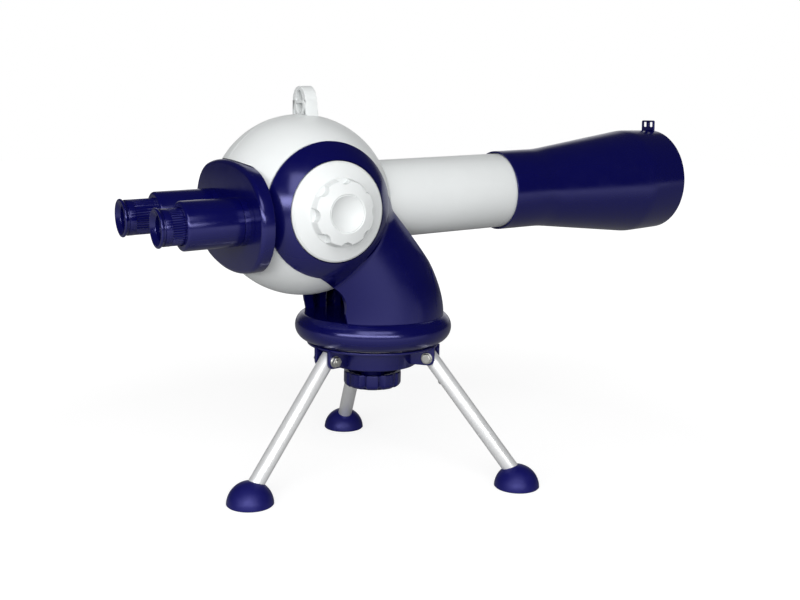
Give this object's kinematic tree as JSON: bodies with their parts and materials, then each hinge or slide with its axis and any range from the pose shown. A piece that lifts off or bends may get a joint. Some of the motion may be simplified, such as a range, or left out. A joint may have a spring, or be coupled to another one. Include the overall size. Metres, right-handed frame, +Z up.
{
  "type": "table telescope on tripod",
  "caption": "Small table telescope with paired eyepieces: a flared tube in a ball that tilts in a fork, turning on a folding tripod with round feet.",
  "frame": {"origin": "on the table, under the axis on which the fork turns", "axes": "+X level, towards the objective end; +Y to the left when looking that way; +Z up"},
  "size_m": [0.54, 0.2655, 0.34],
  "materials": {
    "blue_abs": "glossy moulded, deep indigo blue",
    "grey_abs": "satin moulded, cool light grey",
    "black_plastic": "matt moulded, black",
    "leg_aluminium": "drawn tube, clear anodised",
    "zinc_steel": "zinc plated",
    "brass": "turned",
    "nylon": "natural nylon",
    "lens_glass": "polished",
    "mirror": "front silvered"
  },
  "bodies": {
    "tripod": {"tripod_head": "blue_abs", "clevis_bolts": "zinc_steel", "clevis_nuts": "zinc_steel", "friction_washer": "nylon"},
    "fork": {"base_collar": "blue_abs", "fork_left": "blue_abs", "fork_right": "blue_abs", "fork_screws": "zinc_steel", "azimuth_insert": "brass"},
    "azimuth_clamp": {"azimuth_knob": "blue_abs", "azimuth_screw": "zinc_steel"},
    "telescope": {"ball_left": "grey_abs", "ball_right": "grey_abs", "main_tube": "grey_abs", "tube_baffle": "black_plastic", "hood": "blue_abs", "lens_cell": "black_plastic", "objective_lens": "lens_glass", "lens_ring": "black_plastic", "front_sight": "blue_abs", "rear_sight": "grey_abs", "altitude_stud_left": "zinc_steel", "altitude_stud_right": "zinc_steel", "eyepiece_plate": "blue_abs", "plate_screws": "zinc_steel", "holder_left": "blue_abs", "holder_right": "blue_abs", "optics_tray": "black_plastic", "splitter_prism": "lens_glass", "side_mirror_left": "mirror", "side_mirror_right": "mirror"},
    "leg_1": {"leg_tube_1": "leg_aluminium", "leg_plug_1": "nylon", "leg_rivet_1": "zinc_steel", "leg_foot_1": "blue_abs"},
    "leg_2": {"leg_tube_2": "leg_aluminium", "leg_plug_2": "nylon", "leg_rivet_2": "zinc_steel", "leg_foot_2": "blue_abs"},
    "leg_3": {"leg_tube_3": "leg_aluminium", "leg_plug_3": "nylon", "leg_rivet_3": "zinc_steel", "leg_foot_3": "blue_abs"},
    "altitude_clamp_left": {"altitude_knob_left": "grey_abs", "knob_nut_left": "zinc_steel"},
    "eyepiece_left": {"eyepiece_left": "blue_abs", "eye_lens_left": "lens_glass", "field_lens_left": "lens_glass"},
    "altitude_clamp_right": {"altitude_knob_right": "grey_abs", "knob_nut_right": "zinc_steel"},
    "eyepiece_right": {"eyepiece_right": "blue_abs", "eye_lens_right": "lens_glass", "field_lens_right": "lens_glass"}
  },
  "joints": [
    {"name": "azimuth_turn", "type": "hinge", "parent": "tripod", "child": "fork", "pos_m": [0, 0, 0.13], "axis": [0, 0, 1], "continuous": true},
    {"name": "altitude_tilt", "type": "hinge", "parent": "fork", "child": "telescope", "pos_m": [-0.071, 0, 0.242], "axis": [0, -1, 0], "range_deg": [-20, 55]},
    {"name": "azimuth_knob_turn", "type": "hinge", "parent": "tripod", "child": "azimuth_clamp", "pos_m": [0, 0, 0.09], "axis": [0, 0, -1], "range_deg": [0, 360]},
    {"name": "leg_1_fold", "type": "hinge", "parent": "tripod", "child": "leg_1", "pos_m": [-0.05117, -0.01172, 0.11], "axis": [0.2233, -0.9748, 0], "range_deg": [0, 38.9]},
    {"name": "leg_2_fold", "type": "hinge", "parent": "tripod", "child": "leg_2", "pos_m": [0.03574, -0.03846, 0.11], "axis": [0.7325, 0.6807, 0], "range_deg": [0, 38.9]},
    {"name": "leg_3_fold", "type": "hinge", "parent": "tripod", "child": "leg_3", "pos_m": [0.01544, 0.05018, 0.11], "axis": [-0.9558, 0.294, 0], "range_deg": [0, 38.9]},
    {"name": "altitude_knob_left_turn", "type": "hinge", "parent": "telescope", "child": "altitude_clamp_left", "pos_m": [-0.071, 0.076, 0.242], "axis": [0, 1, 0], "range_deg": [0, 360]},
    {"name": "altitude_knob_right_turn", "type": "hinge", "parent": "telescope", "child": "altitude_clamp_right", "pos_m": [-0.071, -0.076, 0.242], "axis": [0, -1, 0], "range_deg": [0, 360]},
    {"name": "eyepiece_left_slide", "type": "slide", "parent": "telescope", "child": "eyepiece_left", "axis": [-0.999, 0, -0.0436], "range_m": [-0.0133, 0.0027]},
    {"name": "eyepiece_right_slide", "type": "slide", "parent": "telescope", "child": "eyepiece_right", "axis": [-0.999, 0, -0.0436], "range_m": [-0.0047, 0.0113]}
  ]
}
